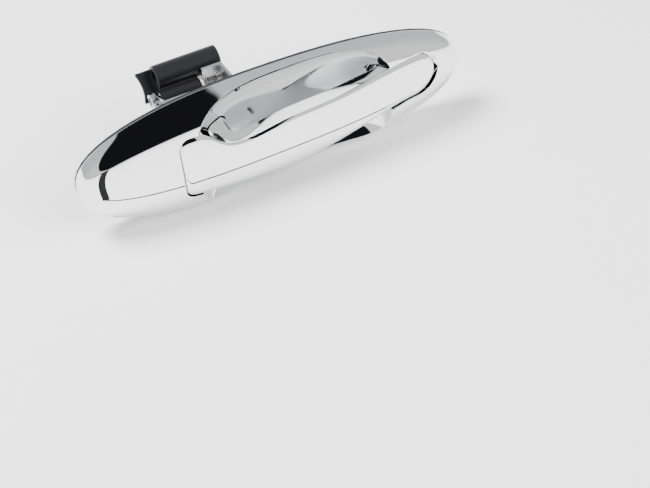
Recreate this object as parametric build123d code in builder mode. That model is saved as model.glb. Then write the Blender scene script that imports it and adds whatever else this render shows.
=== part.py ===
"""Outside door handle of a car: an egg-shaped chromed bezel with a finger recess, a pull
handle hinged at its front end, and the bell crank with counterweight behind it.

Frame: +X towards the hinge (the narrow end of the egg), -Y out of the door, +Z up.
The face that lies on the door skin is the plane y = 0. All lengths are in millimetres.
"""
import os
from math import asin, atan2, cos, degrees, pi, radians, sin

from build123d import *

os.makedirs("parts", exist_ok=True)

# ---------------------------------------------------------------- driving dimensions
# bezel: outline in the XZ plane and dome in front of it
LENGTH = 265.0            # along X
WIDTH = 85.0              # along Z, in the middle
OUTLINE_POWER = 2.4       # superellipse exponent of the outline
TAPER = 0.08              # how much narrower the hinge end is
BOW = 2.7                 # rise of the outline's centre line in the middle
DOME_DEPTH = 23.0
DOME_POWER_IN = 2.5       # flatness of the crown
DOME_POWER_OUT = 3.4      # steepness of the flank
RIM_Y = -2.0              # back edge of the bezel
BEZEL_WALL = 2.6

# finger recess
RECESS_X = 8.0            # centre
RECESS_Z = 3.0
RECESS_REAR = 70.0        # half length towards -X
RECESS_FRONT = 69.0       # half length towards +X
RECESS_HALF_HEIGHT = 50.7
RECESS_POWER = 3.2
RECESS_FLOOR_Y = 6.5
RECESS_DEPTH = 34.0
RECESS_BACK_Z = (-33.4, 38.8)   # what stands behind the rim stays between these heights

# pull handle
GRIP_BACK_Y = -13.8
GRIP_WALL = 2.4
GRIP_GAP = 0.9            # seam between handle and bezel
NOSE_GAP = 1.4            # more room at the hinge end, where the nose swings in
POCKET_FLOOR_Y = -11.4
HINGE_X = 98.0
HINGE_Y = -9.0
KNUCKLE_R = 4.0
KNUCKLE_LOW = 2.0
KNUCKLE_HIGH = 15.0
HINGE_PIN_R = 1.5
HINGE_BUSH_R = 2.6
LUG_THICK = 3.0
LUG_PLAY = 0.5

# leg of the handle: an arc about the hinge
LEG_R_IN = 130.0
LEG_R_OUT = 147.0
LEG_LOW = -9.0
LEG_HIGH = 16.0
LEG_CORNER = 6.0
LEG_PLAY = 0.9
BAR_R_IN = 136.0
BAR_R_OUT = 145.0
BAR_LOW = -7.0
BAR_HIGH = 2.0
HOOK_LOW = -19.5
LEG_MAIN_END_Y = 17.0
HOOK_Y = 48.1
HOOK_THICK = 4.0

# bell crank, turning about an axis parallel to X
CRANK_Y = 34.0
CRANK_Z = 12.5
CRANK_PIN_R = 3.0
CRANK_BUSH_R = 3.9
CRANK_BARREL_R = 5.5
CRANK_REAR_X = -60.0
CRANK_FRONT_X = -33.0
WEB_ANGLE = 42.0          # direction from pivot to counterweight, above +Y
WEIGHT_DISTANCE = 13.2
WEIGHT_R = 8.0
WEIGHT_BORE_R = 4.5
WEIGHT_REAR_X = -58.8
WEIGHT_LENGTH = 42.7
INPUT_RADIUS = 28.0
INPUT_ANGLE = 22.5        # input arm hangs this far behind the vertical at rest
ROLLER_R = 3.0

# brackets, studs and screws
PLATE_FRONT_Y = -4.4
PLATE_THICK = 2.2
REAR_STUD_X = -95.0
REAR_STUD_Z = 2.0
FRONT_STUD_X = 84.0
FRONT_STUD_Z = 8.5
STUD_R = 3.0
STUD_NECK_R = 3.5         # where the stud is pressed into its bracket
STUD_END_Y = 20.0
BRACKET_Y = 9.0           # front face of the crank bracket's foot
BRACKET_THICK = 2.0
REAR_EAR_X = -63.6
FRONT_EAR_X = -19.5
SCREW_R = 1.5
SCREW_HEAD_R = 3.2
BOSS_R = 4.0

# gasket between the bezel's rim and the door skin
GASKET_SIDE = 4.0         # strip width on the long sides
GASKET_END = 8.0          # and at the two ends

FAR = 60.0                # larger than any local feature, for cutting blocks
LOFT_STEPS = 10           # bands between the rim and the crown of a dome or bowl
OUTLINE_COUNT = 56        # points round a dome or bowl
GRIP_COUNT = 110          # points round the pull handle


# ---------------------------------------------------------------- shared shapes
def depth_plane(y):
    """The XZ plane at depth y, drawn as seen from outside the car."""
    return Plane.XZ.offset(-y)


def side_plane(x):
    """The YZ plane at x: local x runs along +Y and local y along +Z."""
    return Plane.YZ.offset(x)


def signed_power(value, exponent):
    """The power of a value's size, with the value's sign."""
    return (1 if value >= 0 else -1) * abs(value) ** exponent


def egg_points(length, width, count=OUTLINE_COUNT):
    """Points on the egg outline of the given length and width."""
    points = []
    for index in range(count):
        angle = 2 * pi * index / count
        along = signed_power(cos(angle), 2 / OUTLINE_POWER)
        across = signed_power(sin(angle), 2 / OUTLINE_POWER)
        half_width = width / 2 * across * (1 - TAPER * along)
        points.append((length / 2 * along, half_width + BOW * width / WIDTH * (1 - along ** 2)))
    return points


def recess_points(scale, grow, count=OUTLINE_COUNT):
    """Points on the finger recess outline, scaled about its centre and grown outwards."""
    points = []
    for index in range(count):
        angle = 2 * pi * index / count
        along = signed_power(cos(angle), 2 / RECESS_POWER)
        across = signed_power(sin(angle), 2 / RECESS_POWER)
        half_length = (RECESS_FRONT if along > 0 else RECESS_REAR) + grow
        half_height = RECESS_HALF_HEIGHT + grow
        points.append((RECESS_X + scale * half_length * along, RECESS_Z + scale * half_height * across))
    return points


def closed_curve_face(points, y):
    """A face at depth y inside the closed outline through the points."""
    with BuildSketch(depth_plane(y)) as face:
        with BuildLine():
            Polyline(*points, close=True)
        make_face()
    return face.sketch


def depth_levels():
    """Fractions of a bowl's depth, closer together where its wall turns into its floor."""
    return [sin(pi / 2 * index / LOFT_STEPS) for index in range(LOFT_STEPS)]


def dome(inset):
    """The egg dome as one solid, its surface moved inwards by the inset."""
    with BuildPart() as solid:
        for level in depth_levels():
            scale = (1 - level ** DOME_POWER_OUT) ** (1 / DOME_POWER_IN)
            points = egg_points(scale * (LENGTH - 2 * inset), scale * (WIDTH - 2 * inset))
            add(closed_curve_face(points, RIM_Y - level * (DOME_DEPTH - inset)))
        loft(ruled=True)
    return solid.part


def recess(grow):
    """The bowl of the finger recess as one solid, grown outwards and to the back."""
    with BuildPart() as solid:
        front_y = RECESS_FLOOR_Y - RECESS_DEPTH
        for level in depth_levels():
            points = recess_points((1 - level ** 2) ** 0.5, grow)
            add(closed_curve_face(points, front_y + level * (RECESS_DEPTH + grow)))
        loft(ruled=True)
    return solid.part


def grip_wire():
    """Outline of the pull handle as a closed wire, drawn in the XY plane as (x, height)."""
    with BuildSketch() as face:
        with BuildLine():
            shoulder = Line((-71.6, 27.4), (-60, 27.4))
            top = Spline(
                (-60, 27.4), (-43, 16.2), (-7, 15.6), (35, 18.7), (65, 22.6), (94, 24.0),
                tangents=((1, 0), (1, -0.08)),
            )
            nose = ThreePointArc(top @ 1, (108.3, 8.0), (93, -7.2))
            bottom = Spline(
                nose @ 1, (65, -12.2), (37, -20.6), (9, -26.6), (-20, -26.0), (-68.6, -20.6),
                tangents=((-1, 0.02), (-1, 0.12)),
            )
            Line(bottom @ 1, shoulder @ 0)
        make_face()
        fillet(face.vertices().group_by(Axis.X)[0], 7)
    return face.sketch.faces()[0].outer_wire()


GRIP_WIRE = grip_wire()


def grip_face(y, grow=0.0, shift=0.0):
    """Face of the pull handle at depth y, grown outwards and shifted towards the hinge."""
    points = []
    for index in range(GRIP_COUNT):
        place = GRIP_WIRE @ (index / GRIP_COUNT)
        along = GRIP_WIRE % (index / GRIP_COUNT)
        points.append((place.X - grow * along.Y + shift, place.Y + grow * along.X))
    return closed_curve_face(points, y)


def hinge_plane(angle):
    """Radial plane of the hinge: local x points away from the axis, local y up."""
    outward = (-cos(radians(angle)), sin(radians(angle)), 0)
    normal = (sin(radians(angle)), cos(radians(angle)), 0)
    return Plane(origin=(HINGE_X, HINGE_Y, 0), x_dir=outward, z_dir=normal)


def hinge_angle(radius, y):
    """Angle about the hinge at which a circle of this radius reaches depth y."""
    return degrees(asin((y - HINGE_Y) / radius))


def hinge_arc(r_in, r_out, low, high, start, end, corner=0.0):
    """A bar bent about the hinge axis, so that it slides through its own cross-section."""
    with BuildPart() as arc:
        with BuildSketch(hinge_plane(start)):
            with Locations(((r_in + r_out) / 2, (low + high) / 2)):
                if corner > 0:
                    RectangleRounded(r_out - r_in, high - low, corner)
                else:
                    Rectangle(r_out - r_in, high - low)
        revolve(axis=Axis((HINGE_X, HINGE_Y, 0), (0, 0, -1)), revolution_arc=end - start)
    return arc.part


def block(x_range, y_range, z_range):
    """A box given by its three ranges."""
    size = [high - low for low, high in (x_range, y_range, z_range)]
    centre = [(high + low) / 2 for low, high in (x_range, y_range, z_range)]
    return Pos(*centre) * Box(*size, mode=Mode.PRIVATE)


def rod_y(x, z, radius, y_start, y_end):
    """A round bar parallel to Y."""
    centre = (x, (y_start + y_end) / 2, z)
    return Pos(*centre) * Rot(90, 0, 0) * Cylinder(radius, abs(y_end - y_start), mode=Mode.PRIVATE)


def rod_x(y, z, radius, x_start, x_end):
    """A round bar parallel to X."""
    centre = ((x_start + x_end) / 2, y, z)
    return Pos(*centre) * Rot(0, 90, 0) * Cylinder(radius, abs(x_end - x_start), mode=Mode.PRIVATE)


def rod_z(x, y, radius, z_start, z_end):
    """A round bar parallel to Z."""
    return Pos(x, y, (z_start + z_end) / 2) * Cylinder(radius, abs(z_end - z_start), mode=Mode.PRIVATE)


def link(x_start, x_end, start, end, width):
    """A round-ended link plate parallel to the YZ plane, between two (y, z) points."""
    length = ((end[0] - start[0]) ** 2 + (end[1] - start[1]) ** 2) ** 0.5
    angle = degrees(atan2(end[1] - start[1], end[0] - start[0]))
    centre = ((x_start + x_end) / 2, (start[0] + end[0]) / 2, (start[1] + end[1]) / 2)
    web = Pos(*centre) * Rot(angle, 0, 0) * Box(x_end - x_start, length, width, mode=Mode.PRIVATE)
    return [web, rod_x(*start, width / 2, x_start, x_end), rod_x(*end, width / 2, x_start, x_end)]


def crank_point(along, across):
    """A (y, z) point of the crank, measured along and across its web from the pivot."""
    angle = radians(WEB_ANGLE)
    return (
        CRANK_Y + along * cos(angle) - across * sin(angle),
        CRANK_Z + along * sin(angle) + across * cos(angle),
    )


def pan_screws(places, head_y, tip_y, bore=SCREW_R):
    """Screws parallel to Y, driven from the back, with domed heads behind head_y."""
    with BuildPart() as screws:
        for x, z in places:
            add(rod_y(x, z, bore, head_y, tip_y))
            with BuildSketch(depth_plane(head_y)):
                with Locations((x, z)):
                    Circle(SCREW_HEAD_R)
            extrude(amount=-2.0)
            with BuildSketch(depth_plane(head_y + 2.0)):
                with Locations((x, z)):
                    Rectangle(3.4, 0.8)
                    Rectangle(0.8, 3.4)
            extrude(amount=1.2, mode=Mode.SUBTRACT)
    return screws


def finish(builder, name):
    """Label a finished piece and write it to its own file."""
    builder.part.label = name
    export_step(builder.part, f"parts/{name}.step")


REAR_BRACKET_SCREWS = [(-107.0, 2.0), (-83.0, 2.0)]
HINGE_BRACKET_SCREWS = [(113.0, 6.5), (83.0, -4.0), (83.0, 21.0)]
CRANK_BRACKET_SCREWS = [(-67.0, 27.0), (-67.0, 0.0), (-11.0, 27.0), (-11.0, 5.0)]

# ---------------------------------------------------------------- bezel
PIVOT = (CRANK_Y, CRANK_Z)
LUG_RANGES = [
    (KNUCKLE_LOW - LUG_PLAY - LUG_THICK, KNUCKLE_LOW - LUG_PLAY),
    (KNUCKLE_HIGH + LUG_PLAY, KNUCKLE_HIGH + LUG_PLAY + LUG_THICK),
]
LUG_SPAN = (LUG_RANGES[0][0] - 1.2, LUG_RANGES[1][1] + 1.2)
RECESS_SCREW = (67.0, 19.0)
RECESS_SCREW_R = 4.5

dome_outside = dome(0.0)
recess_outside = recess(BEZEL_WALL)

with BuildPart() as recess_front:
    add(recess_outside)
    add(dome_outside, mode=Mode.INTERSECT)

with BuildPart() as recess_rear:
    add(recess_outside)
    add(block((-LENGTH, LENGTH), (RIM_Y, FAR), RECESS_BACK_Z), mode=Mode.INTERSECT)

with BuildPart() as pocket_shell:
    extrude(grip_face(POCKET_FLOOR_Y + BEZEL_WALL, GRIP_GAP + BEZEL_WALL), amount=FAR)
    add(dome_outside, mode=Mode.INTERSECT)

with BuildPart() as bosses:
    for x, z in REAR_BRACKET_SCREWS + HINGE_BRACKET_SCREWS:
        add(rod_y(x, z, BOSS_R, PLATE_FRONT_Y, PLATE_FRONT_Y - DOME_DEPTH))
    for x, z in CRANK_BRACKET_SCREWS:
        add(rod_y(x, z, BOSS_R, RIM_Y, -DOME_DEPTH))
    add(dome_outside, mode=Mode.INTERSECT)

with BuildPart() as bezel:
    add(dome_outside)
    add(dome(BEZEL_WALL), mode=Mode.SUBTRACT)
    add(recess_front.part)
    add(recess_rear.part)
    add(pocket_shell.part)
    add(bosses.part)
    for x, z in CRANK_BRACKET_SCREWS:
        add(rod_y(x, z, BOSS_R, BRACKET_Y, RIM_Y))
    add(recess(0.0), mode=Mode.SUBTRACT)
    for shift in (0.0, NOSE_GAP):
        extrude(grip_face(POCKET_FLOOR_Y, GRIP_GAP, shift), amount=FAR, mode=Mode.SUBTRACT)
    add(
        hinge_arc(
            LEG_R_IN - LEG_PLAY, LEG_R_OUT + LEG_PLAY, LEG_LOW - LEG_PLAY, LEG_HIGH + LEG_PLAY,
            hinge_angle(LEG_R_OUT, GRIP_BACK_Y), hinge_angle(LEG_R_IN, LEG_MAIN_END_Y), LEG_CORNER,
        ),
        mode=Mode.SUBTRACT,
    )
    add(block((92.3, 103.7), (POCKET_FLOOR_Y - 1, 0), LUG_SPAN), mode=Mode.SUBTRACT)
    add(rod_y(*RECESS_SCREW, RECESS_SCREW_R, -FAR, 0), mode=Mode.SUBTRACT)
    for x, z in REAR_BRACKET_SCREWS + HINGE_BRACKET_SCREWS:
        add(rod_y(x, z, SCREW_R, PLATE_FRONT_Y, PLATE_FRONT_Y - 4), mode=Mode.SUBTRACT)
    for x, z in CRANK_BRACKET_SCREWS:
        add(rod_y(x, z, SCREW_R, BRACKET_Y, BRACKET_Y - 6), mode=Mode.SUBTRACT)
finish(bezel, "bezel")

# ---------------------------------------------------------------- recess screw
with BuildPart() as recess_screw:
    add(rod_y(*RECESS_SCREW, RECESS_SCREW_R, -9.8, -3.0))
    add(Pos(RECESS_SCREW[0], -14.0, RECESS_SCREW[1]) * Sphere(5.2, mode=Mode.PRIVATE), mode=Mode.SUBTRACT)
    add(rod_y(*RECESS_SCREW, 1.2, -12.0, -7.2), mode=Mode.SUBTRACT)
finish(recess_screw, "recess_screw")

# ---------------------------------------------------------------- rear bracket and stud
with BuildPart() as rear_bracket:
    with BuildSketch(depth_plane(PLATE_FRONT_Y + PLATE_THICK)):
        with Locations((REAR_STUD_X, REAR_STUD_Z)):
            RectangleRounded(34, 20, 5)
            Circle(STUD_NECK_R, mode=Mode.SUBTRACT)
        with Locations(*REAR_BRACKET_SCREWS):
            Circle(SCREW_R, mode=Mode.SUBTRACT)
    extrude(amount=PLATE_THICK)
finish(rear_bracket, "rear_bracket")


def stud(x, z):
    """A door stud: a flat head in front of its bracket and a chamfered shank behind."""
    with BuildPart() as piece:
        add(rod_y(x, z, STUD_R, PLATE_FRONT_Y, STUD_END_Y))
        chamfer(piece.edges().sort_by(Axis.Y)[-1], 0.8)
        add(rod_y(x, z, STUD_NECK_R, PLATE_FRONT_Y, PLATE_FRONT_Y + PLATE_THICK))
        with BuildSketch(depth_plane(PLATE_FRONT_Y)):
            with Locations((x, z)):
                RegularPolygon(5.5, 6)
        extrude(amount=2.4)
    return piece


finish(stud(REAR_STUD_X, REAR_STUD_Z), "rear_stud")
plate_screws = pan_screws(REAR_BRACKET_SCREWS, PLATE_FRONT_Y + PLATE_THICK, PLATE_FRONT_Y - 4)
finish(plate_screws, "rear_bracket_screws")

# ---------------------------------------------------------------- hinge bracket, stud and pin
with BuildPart() as hinge_bracket:
    with BuildSketch(depth_plane(PLATE_FRONT_Y + PLATE_THICK)) as plate:
        with BuildLine():
            Polyline((78, -9), (102, -9), (118, 1), (118, 13), (102, 26), (78, 26), close=True)
        make_face()
        fillet(plate.vertices(), 4)
        with Locations((FRONT_STUD_X, FRONT_STUD_Z)):
            Circle(STUD_NECK_R, mode=Mode.SUBTRACT)
        with Locations(*HINGE_BRACKET_SCREWS):
            Circle(SCREW_R, mode=Mode.SUBTRACT)
    extrude(amount=PLATE_THICK)
    for low, high in LUG_RANGES:
        add(rod_z(HINGE_X, HINGE_Y, KNUCKLE_R, low, high))
        add(block((HINGE_X - KNUCKLE_R, HINGE_X + KNUCKLE_R), (HINGE_Y, PLATE_FRONT_Y + 1), (low, high)))
    add(rod_z(HINGE_X, HINGE_Y, HINGE_PIN_R, -FAR, FAR), mode=Mode.SUBTRACT)
finish(hinge_bracket, "hinge_bracket")
finish(stud(FRONT_STUD_X, FRONT_STUD_Z), "front_stud")
plate_screws = pan_screws(HINGE_BRACKET_SCREWS, PLATE_FRONT_Y + PLATE_THICK, PLATE_FRONT_Y - 4)
finish(plate_screws, "hinge_bracket_screws")

with BuildPart() as hinge_pin:
    add(rod_z(HINGE_X, HINGE_Y, HINGE_PIN_R, LUG_RANGES[0][0] - 0.8, LUG_RANGES[1][1]))
    add(rod_z(HINGE_X, HINGE_Y, 2.6, LUG_RANGES[1][1], LUG_RANGES[1][1] + 1.0))
finish(hinge_pin, "hinge_pin")

with BuildPart() as rear_buffer:
    add(rod_y(-66, 3, 4, -13.4, POCKET_FLOOR_Y))
finish(rear_buffer, "rear_buffer")

# ---------------------------------------------------------------- pull handle
with BuildPart() as grip_cavity:
    extrude(grip_face(GRIP_BACK_Y, -GRIP_WALL), amount=FAR)
    add(dome(GRIP_WALL), mode=Mode.INTERSECT)

with BuildPart() as grip_cover:
    extrude(grip_face(GRIP_BACK_Y), amount=FAR)
    add(dome_outside, mode=Mode.INTERSECT)
    add(grip_cavity.part, mode=Mode.SUBTRACT)
finish(grip_cover, "grip_cover")

GRIP_BACK_THICK = 3.0
LEG_SCREWS = [(-43.5, 10.0), (-36.5, -4.0)]

with BuildPart() as grip_back:
    extrude(grip_face(GRIP_BACK_Y, -GRIP_WALL), amount=GRIP_BACK_THICK)
    add(rod_z(HINGE_X, HINGE_Y, KNUCKLE_R, KNUCKLE_LOW, KNUCKLE_HIGH))
    add(
        block(
            (HINGE_X - KNUCKLE_R + 0.2, HINGE_X + KNUCKLE_R - 0.2),
            (GRIP_BACK_Y - 1, HINGE_Y),
            (KNUCKLE_LOW, KNUCKLE_HIGH),
        )
    )
    add(rod_z(HINGE_X, HINGE_Y, HINGE_BUSH_R, -FAR, FAR), mode=Mode.SUBTRACT)
    for x, z in LEG_SCREWS:
        add(rod_y(x, z, SCREW_R, -FAR, 0), mode=Mode.SUBTRACT)
finish(grip_back, "grip_back")

with BuildPart() as hinge_bushes:
    for inner, flange in ((KNUCKLE_LOW, -0.4), (KNUCKLE_HIGH, 0.4)):
        add(rod_z(HINGE_X, HINGE_Y, HINGE_BUSH_R, inner, inner - 10 * flange))
        add(rod_z(HINGE_X, HINGE_Y, HINGE_BUSH_R + 1, inner, inner + flange))
    add(rod_z(HINGE_X, HINGE_Y, HINGE_PIN_R + 0.04, -FAR, FAR), mode=Mode.SUBTRACT)
finish(hinge_bushes, "hinge_bushes")

with BuildPart() as pull_leg:
    add(
        hinge_arc(
            LEG_R_IN, LEG_R_OUT, LEG_LOW, LEG_HIGH,
            hinge_angle(LEG_R_IN, GRIP_BACK_Y - 3), hinge_angle(LEG_R_IN, LEG_MAIN_END_Y), LEG_CORNER,
        )
    )
    add(block((-LENGTH, LENGTH), (-FAR, GRIP_BACK_Y), (-FAR, FAR)), mode=Mode.SUBTRACT)
    add(
        hinge_arc(
            BAR_R_IN, BAR_R_OUT, BAR_LOW, BAR_HIGH,
            hinge_angle(BAR_R_OUT, 8), hinge_angle(BAR_R_IN, HOOK_Y + HOOK_THICK),
        )
    )
    add(
        hinge_arc(
            BAR_R_IN, BAR_R_OUT, HOOK_LOW, BAR_HIGH,
            hinge_angle(BAR_R_IN, HOOK_Y), hinge_angle(BAR_R_IN, HOOK_Y + HOOK_THICK),
        )
    )
    for x, z in LEG_SCREWS:
        add(rod_y(x, z, SCREW_R, -FAR, -5), mode=Mode.SUBTRACT)
finish(pull_leg, "pull_leg")

with BuildPart() as leg_screws:
    for x, z in LEG_SCREWS:
        add(rod_y(x, z, SCREW_R, GRIP_BACK_Y - GRIP_BACK_THICK, -5))
        add(rod_y(x, z, SCREW_HEAD_R, GRIP_BACK_Y - GRIP_BACK_THICK - 1.8, GRIP_BACK_Y - GRIP_BACK_THICK))
finish(leg_screws, "leg_screws")

GUIDE_PLAY = 0.35
with BuildPart() as leg_guide:
    add(
        hinge_arc(
            LEG_R_IN - 3, LEG_R_OUT + 3, LEG_LOW - 3, LEG_HIGH + 3,
            hinge_angle(LEG_R_OUT, -6), hinge_angle(LEG_R_IN, 7), LEG_CORNER,
        )
    )
    add(
        hinge_arc(
            LEG_R_IN - GUIDE_PLAY, LEG_R_OUT + GUIDE_PLAY, LEG_LOW - GUIDE_PLAY, LEG_HIGH + GUIDE_PLAY,
            hinge_angle(LEG_R_OUT, -12), hinge_angle(LEG_R_IN, 12), LEG_CORNER,
        ),
        mode=Mode.SUBTRACT,
    )
    add(recess_outside, mode=Mode.SUBTRACT)
finish(leg_guide, "leg_guide")

# ---------------------------------------------------------------- crank bracket
COLLAR_R = 4.75
with BuildPart() as crank_bracket:
    with BuildSketch(depth_plane(BRACKET_Y + BRACKET_THICK)) as foot:
        with BuildLine():
            Polyline(
                (-73, -6), (-61.6, -6), (-61.6, 21), (-19.5, 21),
                (-19.5, -1), (-5, -1), (-5, 33), (-73, 33), close=True,
            )
        make_face()
        fillet(foot.vertices(), 3)
        with Locations(*CRANK_BRACKET_SCREWS):
            Circle(SCREW_R, mode=Mode.SUBTRACT)
    extrude(amount=BRACKET_THICK)
    for ear_x, top in ((REAR_EAR_X, CRANK_Z + 5), (FRONT_EAR_X, 26.0)):
        with BuildSketch(side_plane(ear_x)):
            with BuildLine():
                Polyline((10, 0), (10, 30), (CRANK_Y, top), (CRANK_Y, CRANK_Z - 5), close=True)
            make_face()
            with Locations(PIVOT):
                Circle(5)
        extrude(amount=BRACKET_THICK)
    add(rod_x(*PIVOT, COLLAR_R, -66.5, -60.5))
    add(block((-31.3, FRONT_EAR_X + 0.5), (CRANK_Y - 2, CRANK_Y), (18.6, 26)))
    add(rod_x(*PIVOT, CRANK_PIN_R, -FAR * 2, FAR), mode=Mode.SUBTRACT)
finish(crank_bracket, "crank_bracket")
finish(
    pan_screws(CRANK_BRACKET_SCREWS, BRACKET_Y + BRACKET_THICK, BRACKET_Y - 6),
    "crank_bracket_screws",
)

with BuildPart() as crank_pin:
    add(rod_x(*PIVOT, CRANK_PIN_R, -64.8, FRONT_EAR_X + BRACKET_THICK))
    add(rod_x(*PIVOT, 4.6, FRONT_EAR_X + BRACKET_THICK, FRONT_EAR_X + BRACKET_THICK + 2))
finish(crank_pin, "crank_pin")

with BuildPart() as spring_sleeve:
    add(rod_x(*PIVOT, 3.6, -32.0, FRONT_EAR_X))
    add(rod_x(*PIVOT, CRANK_PIN_R, -FAR, FAR), mode=Mode.SUBTRACT)
finish(spring_sleeve, "spring_sleeve")

SPRING_R = 4.6
SPRING_WIRE_R = 0.5
with BuildPart() as crank_spring:
    with BuildLine() as coil:
        Helix(1.6, 9.6, SPRING_R, center=(-30.5, CRANK_Y, CRANK_Z), direction=(1, 0, 0))
    with BuildSketch(Plane(origin=coil.line @ 0, z_dir=coil.line % 0)):
        Circle(SPRING_WIRE_R)
    sweep(is_frenet=True)
finish(crank_spring, "crank_spring")

# ---------------------------------------------------------------- bell crank
WEIGHT_CENTRE = crank_point(WEIGHT_DISTANCE, 0)
FLAG_INNER = crank_point(1.3, -7.2)
FLAG_OUTER = crank_point(18.9, -7.2)
ARM_END = (
    CRANK_Y + INPUT_RADIUS * sin(radians(INPUT_ANGLE)),
    CRANK_Z - INPUT_RADIUS * cos(radians(INPUT_ANGLE)),
)
CLIP_CENTRE = (CRANK_Y + 24.0, CRANK_Z - 14.0)
CHEEK_X = -59.0
ARM_X = -54.0
ARM_THICK = 5.5
ARM_PIN_R = 1.8

with BuildPart() as bell_crank:
    add(rod_x(*PIVOT, CRANK_BARREL_R, CRANK_REAR_X, CRANK_FRONT_X))
    add(rod_x(*WEIGHT_CENTRE, WEIGHT_R, WEIGHT_REAR_X, WEIGHT_REAR_X + WEIGHT_LENGTH))
    add(link(CHEEK_X, CRANK_FRONT_X, PIVOT, WEIGHT_CENTRE, 6))
    add(link(CHEEK_X - 9.0, CHEEK_X + 3.0, FLAG_INNER, FLAG_OUTER, 2.4))
    with BuildSketch(side_plane(CHEEK_X)):
        with BuildLine():
            Polyline(PIVOT, WEIGHT_CENTRE, FLAG_OUTER, FLAG_INNER, close=True)
        make_face()
    extrude(amount=3)
    add(link(CHEEK_X, CHEEK_X + 3, PIVOT, CLIP_CENTRE, 9))
    add(link(ARM_X, ARM_X + ARM_THICK, PIVOT, ARM_END, 7))
    concave = Pos(-91.5, *crank_point(10, -7.2)) * Rot(WEB_ANGLE, 0, 0) * Cylinder(25, 8, mode=Mode.PRIVATE)
    add(concave, mode=Mode.SUBTRACT)
    add(rod_x(*PIVOT, CRANK_BUSH_R, -2 * FAR, FAR), mode=Mode.SUBTRACT)
    add(rod_x(*WEIGHT_CENTRE, WEIGHT_BORE_R, -2 * FAR, FAR), mode=Mode.SUBTRACT)
    add(rod_x(*ARM_END, ARM_PIN_R, -2 * FAR, FAR), mode=Mode.SUBTRACT)
    add(rod_x(*CLIP_CENTRE, 2.5, -2 * FAR, FAR), mode=Mode.SUBTRACT)
finish(bell_crank, "bell_crank")

with BuildPart() as counterweight_core:
    add(rod_x(*WEIGHT_CENTRE, WEIGHT_BORE_R, WEIGHT_REAR_X + 3, WEIGHT_REAR_X + WEIGHT_LENGTH - 2))
    chamfer(counterweight_core.edges().group_by(Axis.X)[0], 0.8)
finish(counterweight_core, "counterweight_core")

with BuildPart() as crank_bushes:
    for start, end in ((-60.4, -54.0), (-39.0, -32.6)):
        add(rod_x(*PIVOT, CRANK_BUSH_R, start, end))
    add(rod_x(*PIVOT, CRANK_PIN_R + 0.05, -2 * FAR, FAR), mode=Mode.SUBTRACT)
finish(crank_bushes, "crank_bushes")

with BuildPart() as arm_pin:
    add(rod_x(*ARM_END, ARM_PIN_R, ARM_X, -24.5))
    add(rod_x(*ARM_END, ROLLER_R - 0.4, -24.5, -23.7))
finish(arm_pin, "arm_pin")

with BuildPart() as arm_roller:
    add(rod_x(*ARM_END, ROLLER_R, ARM_X + ARM_THICK + 0.2, -24.7))
    add(rod_x(*ARM_END, ARM_PIN_R, -2 * FAR, FAR), mode=Mode.SUBTRACT)
finish(arm_roller, "arm_roller")

ROD_R = 1.6
with BuildPart() as rod_clip:
    add(rod_x(*CLIP_CENTRE, 2.5, CHEEK_X, CHEEK_X + 3))
    add(rod_x(*CLIP_CENTRE, 4.0, CHEEK_X - 1.6, CHEEK_X))
    add(rod_x(*CLIP_CENTRE, 3.2, CHEEK_X + 3, CHEEK_X + 4.4))
    add(rod_x(*CLIP_CENTRE, ROD_R, -2 * FAR, FAR), mode=Mode.SUBTRACT)
finish(rod_clip, "rod_clip")

# ---------------------------------------------------------------- gasket
def gasket_tab(x, edge_z, width, depth, direction):
    """A tapering tab on the inner edge; direction is -1 from the top, +1 from the bottom."""
    with BuildSketch(depth_plane(0)) as tab:
        with BuildLine():
            Polyline(
                (x - width / 2 - 2, edge_z - 1.5 * direction),
                (x - width / 2 + 1, edge_z + depth * direction),
                (x + width / 2 - 1, edge_z + depth * direction),
                (x + width / 2 + 2, edge_z - 1.5 * direction),
                close=True,
            )
        make_face()
    return tab.sketch


def outline_z(x, side):
    """Height of the egg outline at x, on the top side (+1) or the bottom side (-1)."""
    along = 2 * x / LENGTH
    half_width = WIDTH / 2 * (1 - abs(along) ** OUTLINE_POWER) ** (1 / OUTLINE_POWER)
    return side * half_width * (1 - TAPER * along) + BOW * (1 - along ** 2)


# (x, side, width, depth) of each tab, then those that also carry a peg
BUMP_TABS = [(58, 1, 12, 1.4), (8, 1, 16, 1.4), (58, -1, 12, 1.4), (8, -1, 16, 1.4)]
OTHER_TABS = [(-37, 1, 11, 3.4), (-46, -1, 9, 8.5)]
PEG_TABS = [(76, 1, 6, 5.0), (76, -1, 6, 5.0), (103, 1, 6, 5.0), (103, -1, 6, 5.0)]

with BuildPart() as gasket:
    extrude(closed_curve_face(egg_points(LENGTH, WIDTH), 0), amount=-RIM_Y)
    inner_outline = egg_points(LENGTH - 2 * GASKET_END, WIDTH - 2 * GASKET_SIDE)
    extrude(closed_curve_face(inner_outline, 1), amount=FAR, mode=Mode.SUBTRACT)
    for x, side, width, depth in BUMP_TABS + OTHER_TABS + PEG_TABS:
        edge = outline_z(x, side) - side * (GASKET_SIDE + abs(x) / 40)
        extrude(gasket_tab(x, edge, width, depth, -side), amount=-RIM_Y)
    for x, side, width, depth in PEG_TABS:
        edge = outline_z(x, side) - side * (GASKET_SIDE + abs(x) / 40)
        add(rod_y(x, edge - side * (depth - 1), 2.2, RIM_Y, 2.0))
    with BuildSketch(depth_plane(0)) as wide_tab:
        with BuildLine():
            Polyline((-126, -6), (-118, -1), (-118, 3), (-126, 8), close=True)
        make_face()
        with Locations((-121, 1)):
            Circle(0.9, mode=Mode.SUBTRACT)
    extrude(amount=-RIM_Y)
finish(gasket, "gasket")
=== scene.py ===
"""Looks of the car door handle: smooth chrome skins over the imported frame, finishes for
every node, and a pale studio with soft light."""

import math

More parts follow.
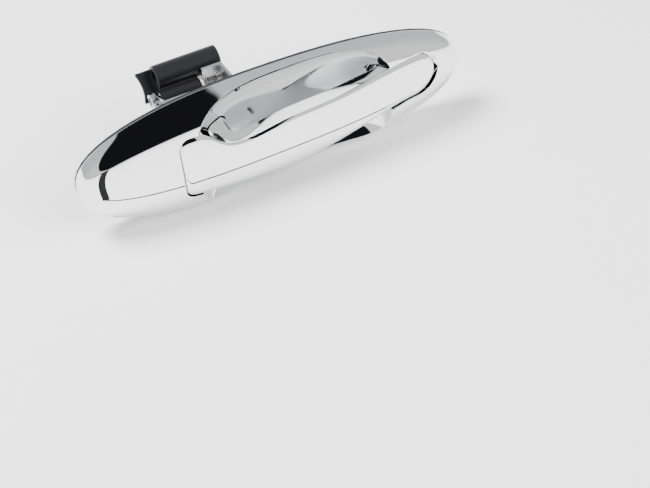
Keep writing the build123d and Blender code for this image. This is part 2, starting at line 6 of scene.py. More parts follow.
import bpy
import numpy as np
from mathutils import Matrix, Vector


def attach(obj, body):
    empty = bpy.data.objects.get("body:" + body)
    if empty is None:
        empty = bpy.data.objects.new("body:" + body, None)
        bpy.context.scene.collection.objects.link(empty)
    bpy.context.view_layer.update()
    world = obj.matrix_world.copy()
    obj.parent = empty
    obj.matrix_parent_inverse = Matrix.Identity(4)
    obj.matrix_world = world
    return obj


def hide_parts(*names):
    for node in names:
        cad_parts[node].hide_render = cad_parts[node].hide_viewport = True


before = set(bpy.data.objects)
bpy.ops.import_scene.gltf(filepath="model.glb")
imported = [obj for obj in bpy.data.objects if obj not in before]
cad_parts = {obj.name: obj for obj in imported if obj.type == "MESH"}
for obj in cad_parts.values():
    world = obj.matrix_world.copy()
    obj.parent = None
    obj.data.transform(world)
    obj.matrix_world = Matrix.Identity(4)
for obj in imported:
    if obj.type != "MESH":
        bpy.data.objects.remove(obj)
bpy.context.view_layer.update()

# ------------------------------------------------------------------ shape of the bezel
LENGTH = 0.265
WIDTH = 0.085
OUTLINE_POWER = 2.4
TAPER = 0.08
BOW = 0.0027
DOME_DEPTH = 0.023
POWER_IN = 2.5
POWER_OUT = 3.4
RIM_Y = -0.002
WALL = 0.0026
RECESS_CENTRE = (0.008, 0.003)
RECESS_REAR = 0.070
RECESS_FRONT = 0.069
RECESS_HALF_HEIGHT = 0.0507
RECESS_POWER = 3.2
RECESS_FRONT_Y = -0.0275
RECESS_DEPTH = 0.034
RECESS_BACK_LOW = -0.0334
RECESS_BACK_HIGH = 0.0388
POCKET_FLOOR_Y = -0.0114
GRIP_BACK_Y = -0.0138
GRIP_GAP = 0.0009
NOSE_GAP = 0.0014
ROLL_WIDTH = 0.0052
ROLL_DROP = 0.0019
HINGE = (0.098, -0.009)
SLOT_R = (0.1291, 0.1479)
SLOT_Z = (-0.0099, 0.0169)
SLOT_CORNER = 0.0069
SCREW_PLACE = (0.067, 0.019)
SCREW_HOLE = 0.0045
GRIP_WALL = 0.0024

# ------------------------------------------------------------------ fineness of the skins
ANGLE_COUNT = 520
LEVEL_COUNT = 90
LOOP_COUNT = 720
SPLINE_COUNT = 260
NOSE_COUNT = 90
CORNER_COUNT = 30
SMOOTHING_PASSES = 6
ROLL_ROWS = 22
SIDE_ROWS = 6
DISTANCE_BATCH = 4000
CROWN_STEP = 0.0011


def power(value, exponent):
    """Power of a value's size, with the value's sign kept."""
    return np.sign(value) * np.abs(value) ** exponent


def egg_inset(angle, inset):
    """Egg outline whose length and width are smaller by twice the inset."""
    along = power(np.cos(angle), 2 / OUTLINE_POWER)
    across = power(np.sin(angle), 2 / OUTLINE_POWER)
    width = WIDTH - 2 * inset
    bow = BOW * width / WIDTH * (1 - along ** 2)
    return (LENGTH / 2 - inset) * along, width / 2 * across * (1 - TAPER * along) + bow


def bowl(angle, grow):
    """Recess outline about its own centre."""
    along = power(np.cos(angle), 2 / RECESS_POWER)
    across = power(np.sin(angle), 2 / RECESS_POWER)
    half = np.where(along > 0, RECESS_FRONT, RECESS_REAR) + grow
    return half * along, (RECESS_HALF_HEIGHT + grow) * across


class Gauge:
    """How far out a point lies in a star-shaped outline: 1 on the outline, 0 in its centre."""

    def __init__(self, outline, value):
        angle = np.linspace(0, 2 * math.pi, 14401)
        x, z = outline(angle, value)
        turn = np.unwrap(np.arctan2(z, x))
        self.turn = turn
        self.radius = np.hypot(x, z)

    def __call__(self, x, z):
        turn = np.mod(np.arctan2(z, x) - self.turn[0], 2 * math.pi) + self.turn[0]
        return np.hypot(x, z) / np.interp(turn, self.turn, self.radius)


class Dome:
    """The solid egg dome, moved inwards by an inset. Values below 0 are inside it."""

    def __init__(self, inset):
        self.gauge = Gauge(egg_inset, inset)
        self.depth = DOME_DEPTH - inset
        self.inset = inset

    def __call__(self, p):
        level = np.maximum((RIM_Y - p[:, 1]) / self.depth, 0)
        return level ** POWER_OUT + self.gauge(p[:, 0], p[:, 2]) ** POWER_IN - 1

    def front(self, x, z):
        """Depth of the surface over (x, z)."""
        rest = np.maximum(1 - self.gauge(x, z) ** POWER_IN, 0)
        return RIM_Y - self.depth * rest ** (1 / POWER_OUT)


class Bowl:
    """The solid that the finger recess takes away. Values below 0 are inside it."""

    def __init__(self, grow):
        self.gauge = Gauge(bowl, grow)
        self.depth = RECESS_DEPTH + grow

    def __call__(self, p):
        level = np.maximum((p[:, 1] - RECESS_FRONT_Y) / self.depth, 0)
        return level ** 2 + self.gauge(p[:, 0] - RECESS_CENTRE[0], p[:, 2] - RECESS_CENTRE[1]) ** 2 - 1


# ------------------------------------------------------------------ outline of the pull handle
def spline(points, start, end, count):
    """Smooth curve through points with given end directions."""
    pts = np.array(points, float)
    step = np.hypot(*np.diff(pts, axis=0).T)
    t = np.concatenate(([0], np.cumsum(step)))
    n = len(pts)
    system = np.zeros((n, n))
    right = np.zeros((n, 2))
    system[0, 0] = system[-1, -1] = 1
    right[0] = np.array(start) / np.hypot(*start)
    right[-1] = np.array(end) / np.hypot(*end)
    for i in range(1, n - 1):
        h0 = t[i] - t[i - 1]
        h1 = t[i + 1] - t[i]
        system[i, i - 1] = h1
        system[i, i] = 2 * (h0 + h1)
        system[i, i + 1] = h0
        right[i] = 3 * (h1 * (pts[i] - pts[i - 1]) / h0 + h0 * (pts[i + 1] - pts[i]) / h1)
    slope = np.linalg.solve(system, right)
    places = np.linspace(0, t[-1], count)
    index = np.clip(np.searchsorted(t, places, side="right") - 1, 0, n - 2)
    h = (t[index + 1] - t[index])[:, None]
    u = ((places - t[index]) / (t[index + 1] - t[index]))[:, None]
    a, b = pts[index], pts[index + 1]
    m0, m1 = slope[index], slope[index + 1]
    return (
        (2 * u ** 3 - 3 * u ** 2 + 1) * a + (u ** 3 - 2 * u ** 2 + u) * h * m0
        + (3 * u ** 2 - 2 * u ** 3) * b + (u ** 3 - u ** 2) * h * m1
    )


def arc_through(a, b, c, count):
    """Circular arc from a through b to c."""
    (ax, ay), (bx, by), (cx, cy) = a, b, c
    d = 2 * (ax * (by - cy) + bx * (cy - ay) + cx * (ay - by))
    ux = ((ax**2 + ay**2) * (by - cy) + (bx**2 + by**2) * (cy - ay) + (cx**2 + cy**2) * (ay - by)) / d
    uy = ((ax**2 + ay**2) * (cx - bx) + (bx**2 + by**2) * (ax - cx) + (cx**2 + cy**2) * (bx - ax)) / d
    r = math.hypot(ax - ux, ay - uy)
    start = math.atan2(ay - uy, ax - ux)
    end = math.atan2(cy - uy, cx - ux)
    if end > start:
        end -= 2 * math.pi
    angle = np.linspace(start, end, count)
    return np.stack((ux + r * np.cos(angle), uy + r * np.sin(angle)), axis=1)


def corner(before, point, after, radius, count):
    """Round the corner at point between two directions."""
    point = np.array(point, float)
    d0 = np.array(before, float) / np.hypot(*before)
    d1 = np.array(after, float) / np.hypot(*after)
    turn = math.acos(np.clip(d0 @ d1, -1, 1))
    cut = radius * math.tan(turn / 2)
    start = point - d0 * cut
    inward = np.array((d0[1], -d0[0]))
    centre = start + inward * radius
    angle0 = math.atan2(*(start - centre)[::-1])
    angle = angle0 - np.linspace(0, turn, count)
    return centre + radius * np.stack((np.cos(angle), np.sin(angle)), axis=1), cut


def grip_outline():
    """The pull handle's outline in metres, clockwise from its upper rear corner, evenly spaced.

    Its points are in millimetres until the last line.
    """
    top = spline(
        [(-60, 27.4), (-43, 16.2), (-7, 15.6), (35, 18.7), (65, 22.6), (94, 24.0)],
        (1, 0), (1, -0.08), SPLINE_COUNT,
    )
    nose = arc_through((94, 24.0), (108.3, 8.0), (93, -7.2), NOSE_COUNT)
    bottom = spline(
        [(93, -7.2), (65, -12.2), (37, -20.6), (9, -26.6), (-20, -26.0), (-68.6, -20.6)],
        (-1, 0.02), (-1, 0.12), SPLINE_COUNT,
    )
    low = np.array((-68.6, -20.6))
    high = np.array((-71.6, 27.4))
    rise = high - low
    corner_radius = 7
    upper, cut_upper = corner(rise, high, (1, 0), corner_radius, CORNER_COUNT)
    lower, cut_lower = corner((-1, 0.12), low, rise, corner_radius, CORNER_COUNT)
    bottom = bottom[np.hypot(*(bottom - low).T) > cut_lower]
    loop = np.concatenate((upper, top[1:], nose[1:-1], bottom[1:], lower))
    closed = np.concatenate((loop, loop[:1]))
    run = np.concatenate(([0], np.cumsum(np.hypot(*np.diff(closed, axis=0).T))))
    places = np.linspace(0, run[-1], LOOP_COUNT + 1)[:-1]
    loop = np.stack((np.interp(places, run, closed[:, 0]), np.interp(places, run, closed[:, 1])), axis=1)
    for _ in range(SMOOTHING_PASSES):
        loop = 0.5 * loop + 0.25 * (np.roll(loop, 1, axis=0) + np.roll(loop, -1, axis=0))
    return loop / 1000


def outward(loop):
    """Outward normals of a clockwise outline."""
    along = np.roll(loop, -1, axis=0) - np.roll(loop, 1, axis=0)
    along /= np.hypot(*along.T)[:, None]
    return np.stack((-along[:, 1], along[:, 0]), axis=1)


GRIP_LOOP = grip_outline()
GRIP_NORMAL = outward(GRIP_LOOP)


def loop_distance(x, z, loop):
    """Distance from the outline, below 0 inside it."""
    result = np.empty(len(x))
    a = loop
    b = np.roll(loop, -1, axis=0)
    edge = b - a
    length2 = (edge ** 2).sum(axis=1)
    for start in range(0, len(x), DISTANCE_BATCH):
        px = x[start:start + DISTANCE_BATCH, None]
        pz = z[start:start + DISTANCE_BATCH, None]
        t = np.clip(((px - a[:, 0]) * edge[:, 0] + (pz - a[:, 1]) * edge[:, 1]) / length2, 0, 1)
        dx = px - a[:, 0] - t * edge[:, 0]
        dz = pz - a[:, 1] - t * edge[:, 1]
        near = np.sqrt((dx ** 2 + dz ** 2).min(axis=1))
        crosses = (a[:, 1] > pz) != (b[:, 1] > pz)
        with np.errstate(divide="ignore", invalid="ignore"):
            meet = a[:, 0] + (pz - a[:, 1]) * edge[:, 0] / edge[:, 1]
        inside = (crosses & (px < meet)).sum(axis=1) % 2 == 1
        result[start:start + DISTANCE_BATCH] = np.where(inside, -near, near)
    return result


def swept_loop(grow, shift):
    """The outline grown outwards and swept towards the hinge."""
    loop = GRIP_LOOP + GRIP_NORMAL * grow
    loop[:, 0] += np.where(GRIP_NORMAL[:, 0] > 0, shift, 0) * np.clip(GRIP_NORMAL[:, 0] * 4, 0, 1)
    return loop


POCKET_LOOP = swept_loop(GRIP_GAP, NOSE_GAP)
POCKET_BACK_LOOP = swept_loop(GRIP_GAP + WALL, 0)


def pocket(loop, floor):
    """Solid of the handle's pocket: inside the outline and in front of its floor."""
    return lambda p: np.maximum(loop_distance(p[:, 0], p[:, 2], loop), p[:, 1] - floor)


def slot(p):
    """Solid of the window that the leg passes through. Values below 0 are inside it."""
    r = np.hypot(p[:, 0] - HINGE[0], p[:, 1] - HINGE[1])
    half_r = (SLOT_R[1] - SLOT_R[0]) / 2 - SLOT_CORNER
    half_z = (SLOT_Z[1] - SLOT_Z[0]) / 2 - SLOT_CORNER
    dr = np.abs(r - sum(SLOT_R) / 2) - half_r
    dz = np.abs(p[:, 2] - sum(SLOT_Z) / 2) - half_z
    edge = np.hypot(np.maximum(dr, 0), np.maximum(dz, 0)) + np.minimum(np.maximum(dr, dz), 0) - SLOT_CORNER
    return np.where(p[:, 0] < 0, edge, 0.01)


def screw_hole(p):
    """Solid of the hole for the recess screw."""
    return np.hypot(p[:, 0] - SCREW_PLACE[0], p[:, 2] - SCREW_PLACE[1]) - SCREW_HOLE


# ------------------------------------------------------------------ surface patches
def grid(rows, columns, closed):
    """Triangles of a grid of points."""
    row = np.arange(rows - 1)[:, None]
    column = np.arange(columns if closed else columns - 1)[None, :]
    after = (column + 1) % columns
    a = (row * columns + column).ravel()
    b = (row * columns + after).ravel()
    c = ((row + 1) * columns + after).ravel()
    d = ((row + 1) * columns + column).ravel()
    return np.concatenate((np.stack((a, b, c), axis=1), np.stack((a, c, d), axis=1)))


def clip(points, faces, field):
    """Keep the part of a surface where the field is below 0."""
    value = field(points)
    keep = value < 0
    count = keep[faces].sum(axis=1)
    whole = faces[count == 3]
    mixed = faces[(count == 1) | (count == 2)]
    new_points = []
    made = {}
    extra = []

    def cut(i, j):
        key = (i, j) if i < j else (j, i)
        if key not in made:
            t = value[i] / (value[i] - value[j])
            made[key] = len(points) + len(new_points)
            new_points.append(points[i] + t * (points[j] - points[i]))
        return made[key]

    for tri in mixed:
        inside = [k for k in range(3) if keep[tri[k]]]
        if len(inside) == 1:
            k = inside[0]
            i, j, m = int(tri[k]), int(tri[(k + 1) % 3]), int(tri[(k + 2) % 3])
            extra.append((i, cut(i, j), cut(i, m)))
        else:
            k = [q for q in range(3) if q not in inside][0]
            o, i, j = int(tri[k]), int(tri[(k + 1) % 3]), int(tri[(k + 2) % 3])
            p, q = cut(o, i), cut(o, j)
            extra.append((p, i, j))
            extra.append((p, j, q))
    if new_points:
        points = np.concatenate((points, np.array(new_points)))
    if extra:
        whole = np.concatenate((whole, np.array(extra)))
    used = np.unique(whole)
    index = np.full(len(points), -1)
    index[used] = np.arange(len(used))
    return points[used], index[whole]


def gradient(points, field):
    """Unit direction in which a field grows."""
    step = 2e-5
    parts = []
    for axis in range(3):
        shift = np.zeros(3)
        shift[axis] = step
        parts.append(field(points + shift) - field(points - shift))
    result = np.stack(parts, axis=1)
    return result / np.maximum(np.linalg.norm(result, axis=1), 1e-12)[:, None]


def minus(field):
    """The field of everything outside a solid."""
    return lambda p: -field(p)


class Skin:
    """Collects surface patches with their own normals and makes one mesh of them."""

    def __init__(self):
        self.points = []
        self.faces = []
        self.normals = []
        self.count = 0

    def add(self, points, faces, normals):
        corners = points[faces]
        flat = np.cross(corners[:, 1] - corners[:, 0], corners[:, 2] - corners[:, 0])
        size = np.linalg.norm(flat, axis=1)
        faces = faces[size > 1e-13]
        flat = flat[size > 1e-13]
        wrong = (flat * normals[faces].mean(axis=1)).sum(axis=1) < 0
        faces = faces.copy()
        faces[wrong] = faces[wrong][:, ::-1]
        self.points.append(points)
        self.faces.append(faces + self.count)
        self.normals.append(normals)
        self.count += len(points)

    def build(self, name):
        points = np.concatenate(self.points)
        faces = np.concatenate(self.faces)
        normals = np.concatenate(self.normals)
        mesh = bpy.data.meshes.new(name)
        mesh.from_pydata(points.tolist(), [], faces.tolist())
        mesh.validate()
        mesh.update()
        mesh.polygons.foreach_set("use_smooth", [True] * len(mesh.polygons))
        mesh.normals_split_custom_set_from_vertices(normals.tolist())
        piece = bpy.data.objects.new(name, mesh)
        bpy.context.scene.collection.objects.link(piece)
        return piece


DOME = Dome(0.0)
DOME_IN = Dome(WALL)
BOWL = Bowl(0.0)
BOWL_OUT = Bowl(WALL)
POCKET = pocket(POCKET_LOOP, POCKET_FLOOR_Y)
POCKET_OUT = pocket(POCKET_BACK_LOOP, POCKET_FLOOR_Y + WALL)


def levels(count):
    """Fractions of a depth, closer together where a wall turns into its floor."""
    return np.sin(np.linspace(0, math.pi / 2, count))


def dome_patch(dome):
    """Grid over the front of a dome, rim first."""
    angle = np.linspace(0, 2 * math.pi, ANGLE_COUNT, endpoint=False)
    x, z = egg_inset(angle, dome.inset)
    rows = []
    for level in levels(LEVEL_COUNT):
        scale = max(1 - level ** POWER_OUT, 1e-9) ** (1 / POWER_IN)
        y = RIM_Y - level * dome.depth
        rows.append(np.stack((x * scale, np.full_like(x, y), z * scale), axis=1))
    return np.concatenate(rows), grid(len(rows), ANGLE_COUNT, True)


def bowl_patch(solid, grow):
    """Grid over the wall and floor of the recess."""
    angle = np.linspace(0, 2 * math.pi, ANGLE_COUNT, endpoint=False)
    x, z = bowl(angle, grow)
    rows = []
    for level in levels(LEVEL_COUNT):
        scale = max(1 - level ** 2, 1e-9) ** 0.5
        y = RECESS_FRONT_Y + level * solid.depth
        across, along = RECESS_CENTRE[0] + x * scale, RECESS_CENTRE[1] + z * scale
        rows.append(np.stack((across, np.full_like(x, y), along), axis=1))
    return np.concatenate(rows), grid(len(rows), ANGLE_COUNT, True)


def wall_patch(loop, front, back, rows=24):
    """Grid over the walls between two depths of an outline."""
    parts = []
    for y in np.linspace(back, front, rows):
        parts.append(np.stack((loop[:, 0], np.full(len(loop), y), loop[:, 1]), axis=1))
    return np.concatenate(parts), grid(rows, len(loop), True)


def flat_patch(y, low, high, step=0.0016):
    """Grid on a plane of constant depth."""
    xs = np.arange(low[0], high[0] + step, step)
    zs = np.arange(low[1], high[1] + step, step)
    x, z = np.meshgrid(xs, zs)
    points = np.stack((x.ravel(), np.full(x.size, y), z.ravel()), axis=1)
    return points, grid(len(zs), len(xs), False)


def clipped(patch, *fields):
    """A patch kept only where every field is below 0."""
    points, faces = patch
    for field in fields:
        points, faces = clip(points, faces, field)
    return points, faces


def behind_rim(p):
    """Below 0 in front of the rim, or behind it between the trimmed heights of the recess."""
    trimmed = np.maximum(RECESS_BACK_LOW - p[:, 2], p[:, 2] - RECESS_BACK_HIGH)
    return np.minimum(p[:, 1] - RIM_Y, trimmed)


def make_bezel():
    """Chrome skin of the bezel: dome, recess, pocket, and the back of the shell."""
    skin = Skin()
    points, faces = clipped(dome_patch(DOME), minus(BOWL), minus(POCKET), minus(screw_hole))
    skin.add(points, faces, gradient(points, DOME))
    in_front = lambda p: np.minimum(DOME(p), RIM_Y - p[:, 1])
    points, faces = clipped(
        bowl_patch(BOWL, 0.0), in_front, minus(POCKET), minus(slot), minus(screw_hole), behind_rim
    )
    skin.add(points, faces, -gradient(points, BOWL))
    walls = wall_patch(POCKET_LOOP, -0.027, POCKET_FLOOR_Y)
    points, faces = clipped(walls, DOME, minus(BOWL), minus(slot))
    skin.add(points, faces, -gradient(points, lambda p: loop_distance(p[:, 0], p[:, 2], POCKET_LOOP)))
    inside = lambda p: loop_distance(p[:, 0], p[:, 2], POCKET_LOOP)
    floor = flat_patch(POCKET_FLOOR_Y, (-0.076, -0.032), (0.115, 0.033))
    points, faces = clipped(floor, inside, DOME, minus(BOWL), minus(slot), minus(screw_hole))
    skin.add(points, faces, np.tile((0.0, -1.0, 0.0), (len(points), 1)))
    # back of the shell
    points, faces = clipped(dome_patch(DOME_IN), minus(BOWL_OUT), minus(POCKET_OUT))
    skin.add(points, faces, -gradient(points, DOME_IN))
    in_shell = lambda p: np.minimum(DOME_IN(p), RIM_Y - p[:, 1])
    points, faces = clipped(
        bowl_patch(BOWL_OUT, WALL), in_shell, minus(POCKET_OUT), minus(slot), behind_rim
    )
    skin.add(points, faces, gradient(points, BOWL_OUT))
    pocket_back = wall_patch(POCKET_BACK_LOOP, -0.025, POCKET_FLOOR_Y + WALL)
    points, faces = clipped(pocket_back, DOME_IN, minus(BOWL_OUT))
    skin.add(points, faces, gradient(points, lambda p: loop_distance(p[:, 0], p[:, 2], POCKET_BACK_LOOP)))
    points, faces = clipped(
        flat_patch(POCKET_FLOOR_Y + WALL, (-0.08, -0.036), (0.118, 0.037)),
        lambda p: loop_distance(p[:, 0], p[:, 2], POCKET_BACK_LOOP), DOME_IN, minus(BOWL_OUT),
    )
    skin.add(points, faces, np.tile((0.0, 1.0, 0.0), (len(points), 1)))
    rim = flat_patch(RIM_Y, (-0.134, -0.044), (0.134, 0.05))
    ring = lambda p: np.maximum(DOME.gauge(p[:, 0], p[:, 2]) - 1, 1 - DOME_IN.gauge(p[:, 0], p[:, 2]))
    points, faces = clipped(rim, ring, minus(BOWL))
    skin.add(points, faces, np.tile((0.0, 1.0, 0.0), (len(points), 1)))
    return skin.build("bezel_skin")


def make_grip():
    """Chrome skin of the pull handle: rolled edge, crown, sides and back edge."""
    skin = Skin()
    distance = lambda p: loop_distance(p[:, 0], p[:, 2], GRIP_LOOP)

    # rolled edge: a quarter ellipse between the side and the crown
    side = np.stack((GRIP_NORMAL[:, 0], np.zeros(len(GRIP_LOOP)), GRIP_NORMAL[:, 1]), axis=1)
    rows = []
    normals = []
    for turn in np.linspace(0, math.pi / 2, ROLL_ROWS):
        ring = GRIP_LOOP - GRIP_NORMAL * ROLL_WIDTH * (1 - math.cos(turn))
        y = DOME.front(ring[:, 0], ring[:, 1])
        up = gradient(np.stack((ring[:, 0], y, ring[:, 1]), axis=1), DOME)
        lean = side * math.cos(turn) * ROLL_DROP + up * math.sin(turn) * ROLL_WIDTH
        rows.append(np.stack((ring[:, 0], y + ROLL_DROP * (1 - math.sin(turn)), ring[:, 1]), axis=1))
        normals.append(lean / np.linalg.norm(lean, axis=1)[:, None])
    skin.add(np.concatenate(rows), grid(len(rows), len(GRIP_LOOP), True), np.concatenate(normals))
    # crown
    crown = flat_patch(0.0, (-0.074, -0.030), (0.110, 0.030), CROWN_STEP)
    flat, faces = clip(*crown, lambda p: distance(p) + ROLL_WIDTH)
    flat[:, 1] = DOME.front(flat[:, 0], flat[:, 2])
    skin.add(flat, faces, gradient(flat, DOME))
    # sides
    top = rows[0]
    rows = []
    foot = top.copy()
    foot[:, 1] = GRIP_BACK_Y
    for t in np.linspace(0, 1, SIDE_ROWS):
        rows.append(foot + (top - foot) * t)
    skin.add(np.concatenate(rows), grid(SIDE_ROWS, len(GRIP_LOOP), True), np.tile(side, (SIDE_ROWS, 1)))
    # back edge
    inner = GRIP_LOOP - GRIP_NORMAL * GRIP_WALL
    rim = np.concatenate((foot, np.stack((inner[:, 0], foot[:, 1], inner[:, 1]), axis=1)))
    skin.add(rim, grid(2, len(GRIP_LOOP), True), np.tile((0.0, 1.0, 0.0), (len(rim), 1)))
    return skin.build("grip_skin")


# ------------------------------------------------------------------ finishes
def principled(name):
    """A new node material, with its nodes, links and shader."""
    mat = bpy.data.materials.new(name)
    mat.use_nodes = True
    nodes = mat.node_tree.nodes
    return mat, nodes, mat.node_tree.links, nodes["Principled BSDF"]


def noise(nodes, links, scale, detail=3.0, stretch=(1, 1, 1)):
    """Noise over the object's own coordinates."""
    place = nodes.new("ShaderNodeTexCoord")
    mapping = nodes.new("ShaderNodeMapping")
    mapping.inputs["Scale"].default_value = stretch
    texture = nodes.new("ShaderNodeTexNoise")
    texture.inputs["Scale"].default_value = scale
    texture.inputs["Detail"].default_value = detail
    links.new(place.outputs["Object"], mapping.inputs["Vector"])
    links.new(mapping.outputs["Vector"], texture.inputs["Vector"])
    return texture


def spread(nodes, links, value, low, high):
    """Map a 0 to 1 value to a range."""
    node = nodes.new("ShaderNodeMapRange")
    node.inputs["From Min"].default_value = 0.3
    node.inputs["From Max"].default_value = 0.7
    node.inputs["To Min"].default_value = low
    node.inputs["To Max"].default_value = high
    links.new(value, node.inputs["Value"])
    return node.outputs["Result"]


def two_tone(nodes, links, value, dark, light):
    """Blend of two colours by a noise value."""
    node = nodes.new("ShaderNodeMix")
    node.data_type = "RGBA"
    node.inputs[6].default_value = (*dark, 1)
    node.inputs[7].default_value = (*light, 1)
    links.new(value, node.inputs[0])
    return node.outputs[2]


def relief(nodes, links, height, shader, distance, strength, edge=0.0):
    """Bump from a height, over edges softened by the given radius."""
    bump = nodes.new("ShaderNodeBump")
    bump.inputs["Distance"].default_value = distance
    bump.inputs["Strength"].default_value = strength
    links.new(height, bump.inputs["Height"])
    if edge > 0:
        bevel = nodes.new("ShaderNodeBevel")
        bevel.samples = 6
        bevel.inputs["Radius"].default_value = edge
        links.new(bevel.outputs["Normal"], bump.inputs["Normal"])
    links.new(bump.outputs["Normal"], shader.inputs["Normal"])


def finish_material(name, dark, light, metal, rough, scale, bump, edge, stretch=(1, 1, 1), strength=0.5):
    """A finish with noise in its colour, its roughness and its relief."""
    mat, nodes, links, shader = principled(name)
    texture = noise(nodes, links, scale, 4.0, stretch)
    value = texture.outputs["Fac"]
    links.new(two_tone(nodes, links, value, dark, light), shader.inputs["Base Color"])
    links.new(spread(nodes, links, value, *rough), shader.inputs["Roughness"])
    shader.inputs["Metallic"].default_value = metal
    relief(nodes, links, value, shader, bump, strength, edge)
    return mat


CHROME = finish_material(
    "chrome", (0.86, 0.865, 0.875), (0.92, 0.925, 0.93), 1.0, (0.015, 0.035), 14, 0.00002, 0.0007,
    strength=0.03,
)
CHROME_NODE = finish_material(
    "chrome_parts", (0.80, 0.81, 0.82), (0.90, 0.905, 0.91), 1.0, (0.05, 0.10), 60, 0.00005, 0.0005,
    strength=0.08,
)
SATIN = finish_material(
    "satin_plating", (0.88, 0.885, 0.89), (0.94, 0.945, 0.95), 1.0, (0.42, 0.52), 240, 0.00003, 0.0005,
    strength=0.05,
)
BLACK_CAST = finish_material(
    "black_casting", (0.004, 0.004, 0.005), (0.010, 0.010, 0.012), 0.0, (0.28, 0.42), 900, 0.00010, 0.0006,
    strength=0.25,
)
ZINC = finish_material(
    "bright_zinc", (0.60, 0.61, 0.62), (0.80, 0.81, 0.81), 1.0, (0.14, 0.24), 260, 0.00003, 0.0004,
    strength=0.06,
)
STEEL = finish_material(
    "machined_steel", (0.50, 0.51, 0.52), (0.66, 0.67, 0.68), 1.0, (0.18, 0.34), 500, 0.00005, 0.0003,
    stretch=(1, 8, 1), strength=0.08,
)
SPRING = finish_material(
    "spring_wire", (0.46, 0.46, 0.47), (0.66, 0.66, 0.67), 1.0, (0.16, 0.30), 600, 0.00003, 0.0001,
    strength=0.2,
)
NYLON = finish_material(
    "natural_nylon", (0.72, 0.71, 0.66), (0.84, 0.83, 0.78), 0.0, (0.34, 0.46), 300, 0.00004, 0.0003,
    strength=0.2,
)
BLACK_PLASTIC = finish_material(
    "black_moulding", (0.018, 0.018, 0.02), (0.035, 0.035, 0.037), 0.0, (0.42, 0.58), 700, 0.00008, 0.0004,
    strength=0.3,
)
RUBBER = finish_material(
    "gasket_rubber", (0.018, 0.018, 0.020), (0.032, 0.032, 0.035), 0.0, (0.62, 0.82), 1200, 0.00012, 0.0004,
    strength=0.4,
)

FINISHES = {
    "recess_screw": CHROME_NODE, "rear_bracket": ZINC, "rear_stud": ZINC, "rear_bracket_screws": STEEL,
    "hinge_bracket": ZINC, "front_stud": ZINC, "hinge_bracket_screws": STEEL, "hinge_pin": STEEL,
    "rear_buffer": RUBBER, "grip_back": SATIN, "hinge_bushes": NYLON, "pull_leg": CHROME_NODE,
    "leg_screws": STEEL, "leg_guide": BLACK_PLASTIC, "crank_bracket": ZINC, "crank_bracket_screws": STEEL,
    "crank_pin": STEEL, "spring_sleeve": NYLON, "crank_spring": SPRING, "bell_crank": BLACK_CAST,
    "counterweight_core": STEEL, "crank_bushes": NYLON, "arm_pin": STEEL, "arm_roller": NYLON,
    "rod_clip": NYLON, "gasket": RUBBER, "bezel": CHROME, "grip_cover": CHROME,
}


def paint(piece, material):
    """Give a piece one finish."""
    piece.data.materials.clear()
    piece.data.materials.append(material)


for node_name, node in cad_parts.items():
    paint(node, FINISHES[node_name])

bezel_skin = make_bezel()
paint(bezel_skin, CHROME)
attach(bezel_skin, "housing")
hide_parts("bezel")

grip_skin = make_grip()
paint(grip_skin, CHROME)
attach(grip_skin, "pull_handle")
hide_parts("grip_cover")


# ------------------------------------------------------------------ studio
def plane_object(name, centre, size, normal, material):
    """A square plane facing a direction."""
    half = size / 2
    mesh = bpy.data.meshes.new(name)
    mesh.from_pydata(
        [(-half, -half, 0), (half, -half, 0), (half, half, 0), (-half, half, 0)], [], [(0, 1, 2, 3)]
    )
    piece = bpy.data.objects.new(name, mesh)
    piece.rotation_euler = Vector(normal).to_track_quat("Z", "Y").to_euler()
    piece.location = centre
    mesh.materials.append(material)
    bpy.context.scene.collection.objects.link(piece)
    return piece


floor_material, nodes, links, shader = principled("floor_paper")
paper = noise(nodes, links, 4)
links.new(
    two_tone(nodes, links, paper.outputs["Fac"], (0.90, 0.90, 0.90), (0.93, 0.93, 0.93)),
    shader.inputs["Base Color"],
)
shader.inputs["Roughness"].default_value = 0.9
FLOOR_Z = -0.0412
plane_object("floor", (0, 0, FLOOR_Z), 9.0, (0, 0, 1), floor_material)


def area_light(name, place, size, watts, glossy):
    """A square area light that faces the object."""
    data = bpy.data.lights.new(name, "AREA")
    data.shape = "SQUARE"
    data.size = size
    data.energy = watts
    lamp = bpy.data.objects.new(name, data)
    lamp.location = place
    lamp.rotation_euler = (Vector(place)).to_track_quat("Z", "Y").to_euler()
    lamp.visible_glossy = glossy
    lamp.visible_camera = False
    bpy.context.scene.collection.objects.link(lamp)
    return lamp


area_light("key", (-0.55, 0.25, 1.25), 0.55, 54.0, False)
area_light("fill", (0.9, -1.1, 1.1), 1.2, 52.0, False)

world = bpy.data.worlds.new("studio")
bpy.context.scene.world = world
world.use_nodes = True
nodes = world.node_tree.nodes
links = world.node_tree.links
background = nodes["Background"]
place = nodes.new("ShaderNodeTexCoord")


def mixed(factor, below, above):
    """Blend of two colours, each a value or a socket."""
    node = nodes.new("ShaderNodeMix")
    node.data_type = "RGBA"
    links.new(factor, node.inputs[0])
    for socket, value in ((node.inputs[6], below), (node.inputs[7], above)):
        if isinstance(value, tuple):
            socket.default_value = (*value, 1)
        else:
            links.new(value, socket)
    return node.outputs[2]


def side_of(normal, softness=0.02, offset=0.0):
    """1 where a direction's part along the normal is more than the offset, else 0."""
    dot = nodes.new("ShaderNodeVectorMath")
    dot.operation = "DOT_PRODUCT"
    links.new(place.outputs["Generated"], dot.inputs[0])
    dot.inputs[1].default_value = Vector(normal).normalized()
    ramp = nodes.new("ShaderNodeMapRange")
    ramp.interpolation_type = "SMOOTHSTEP"
    ramp.inputs["From Min"].default_value = offset - softness
    ramp.inputs["From Max"].default_value = offset + softness
    links.new(dot.outputs["Value"], ramp.inputs["Value"])
    return ramp.outputs["Result"]


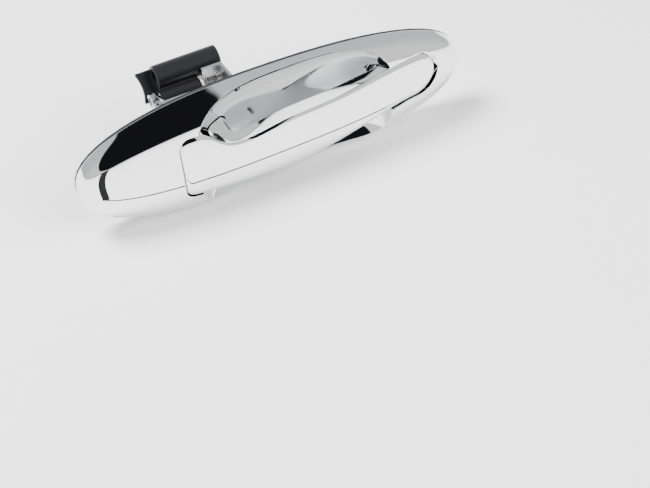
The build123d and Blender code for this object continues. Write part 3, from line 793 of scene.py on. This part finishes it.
def both(first, second):
    """1 where both values are 1."""
    node = nodes.new("ShaderNodeMath")
    node.operation = "MULTIPLY"
    links.new(first, node.inputs[0])
    links.new(second, node.inputs[1])
    return node.outputs["Value"]


WHITE = (1.0, 1.0, 1.0)
PALE = (0.72, 0.73, 0.74)
DARK = (0.010, 0.010, 0.012)
# A dark studio panel beyond the view, with four straight edges. Each edge is a direction that points
# into the panel and how far the edge stands from the middle of the surroundings.
PANEL_EDGES = (
    ((0.4, -0.2, 0.9), 0.0),
    ((0.6, -0.4, 0.7), 0.0),
    ((-1.0, 0.0, 0.0), -0.2),
    ((0.0, -0.5, 0.9), 0.0),
)
edges = [side_of(normal, offset=offset) for normal, offset in PANEL_EDGES]
panel = both(both(edges[0], edges[1]), both(edges[2], edges[3]))
sky = mixed(side_of((0.0, 1.0, 0.0), 0.5), WHITE, PALE)
sky = mixed(panel, sky, DARK)
links.new(sky, background.inputs["Color"])
background.inputs["Strength"].default_value = 1.0


CARD_LIFT = 0.0004


def painted_reflection_card(name, start, end, start_width, end_width):
    """A straight dark card beside the handle, hidden from the camera, from diffuse light and from shadows,
    so that it only paints a dark stripe into the chrome: a painted reflection.
    """
    start, end = Vector((*start, FLOOR_Z + CARD_LIFT)), Vector((*end, FLOOR_Z + CARD_LIFT))
    along = (end - start).normalized()
    across = Vector((-along.y, along.x, 0.0))
    near, far = across * start_width / 2, across * end_width / 2
    mesh = bpy.data.meshes.new(name)
    mesh.from_pydata([start - near, end - far, end + far, start + near], [], [(0, 1, 2, 3)])
    mesh.materials.append(REFLECTION_CARD_DARK)
    piece = bpy.data.objects.new(name, mesh)
    # Seen by no camera, diffuse or shadow ray: the card shows only as a painted reflection in the chrome.
    piece.visible_camera = False
    piece.visible_diffuse = False
    piece.visible_shadow = False
    bpy.context.scene.collection.objects.link(piece)


# Near-black colour of the reflection-only cards, which paints dark stripes into the chrome's reflections.
REFLECTION_CARD_DARK, nodes, links, shader = principled("painted_reflection_dark")
reflection_card_noise = noise(nodes, links, 4)
links.new(
    two_tone(nodes, links, reflection_card_noise.outputs["Fac"], (0.008, 0.008, 0.008), (0.012, 0.012, 0.012)),
    shader.inputs["Base Color"],
)
shader.inputs["Roughness"].default_value = 0.9
# The long card paints a dark reflected band towards the wide end, and the thin card paints a thin dark
# reflected line along the front of the handle; both are painted reflections.
painted_reflection_card("painted_reflection_band", (-0.13, -0.05), (-1.2, -2.0), 0.01, 0.4)
painted_reflection_card("painted_reflection_line", (-0.13, -0.05), (0.12, -0.05), 0.002, 0.002)

# ------------------------------------------------------------------ camera
AZIMUTH = math.radians(-28.1)
ELEVATION = math.radians(48.8)
DISTANCE = 1.0
VIEW_RIGHT = 0.034
VIEW_DOWN = 0.081
camera_data = bpy.data.cameras.new("camera")
camera_data.sensor_width = 36
camera_data.lens = 88
camera = bpy.data.objects.new("camera", camera_data)
toward = Vector((
    math.sin(AZIMUTH) * math.cos(ELEVATION), -math.cos(AZIMUTH) * math.cos(ELEVATION), math.sin(ELEVATION)
))
camera.rotation_euler = toward.to_track_quat("Z", "Y").to_euler()
turn = camera.rotation_euler.to_matrix()
offset = turn @ Vector((VIEW_RIGHT, -VIEW_DOWN, 0))
camera.location = toward * DISTANCE + offset
bpy.context.scene.collection.objects.link(camera)
bpy.context.scene.camera = camera
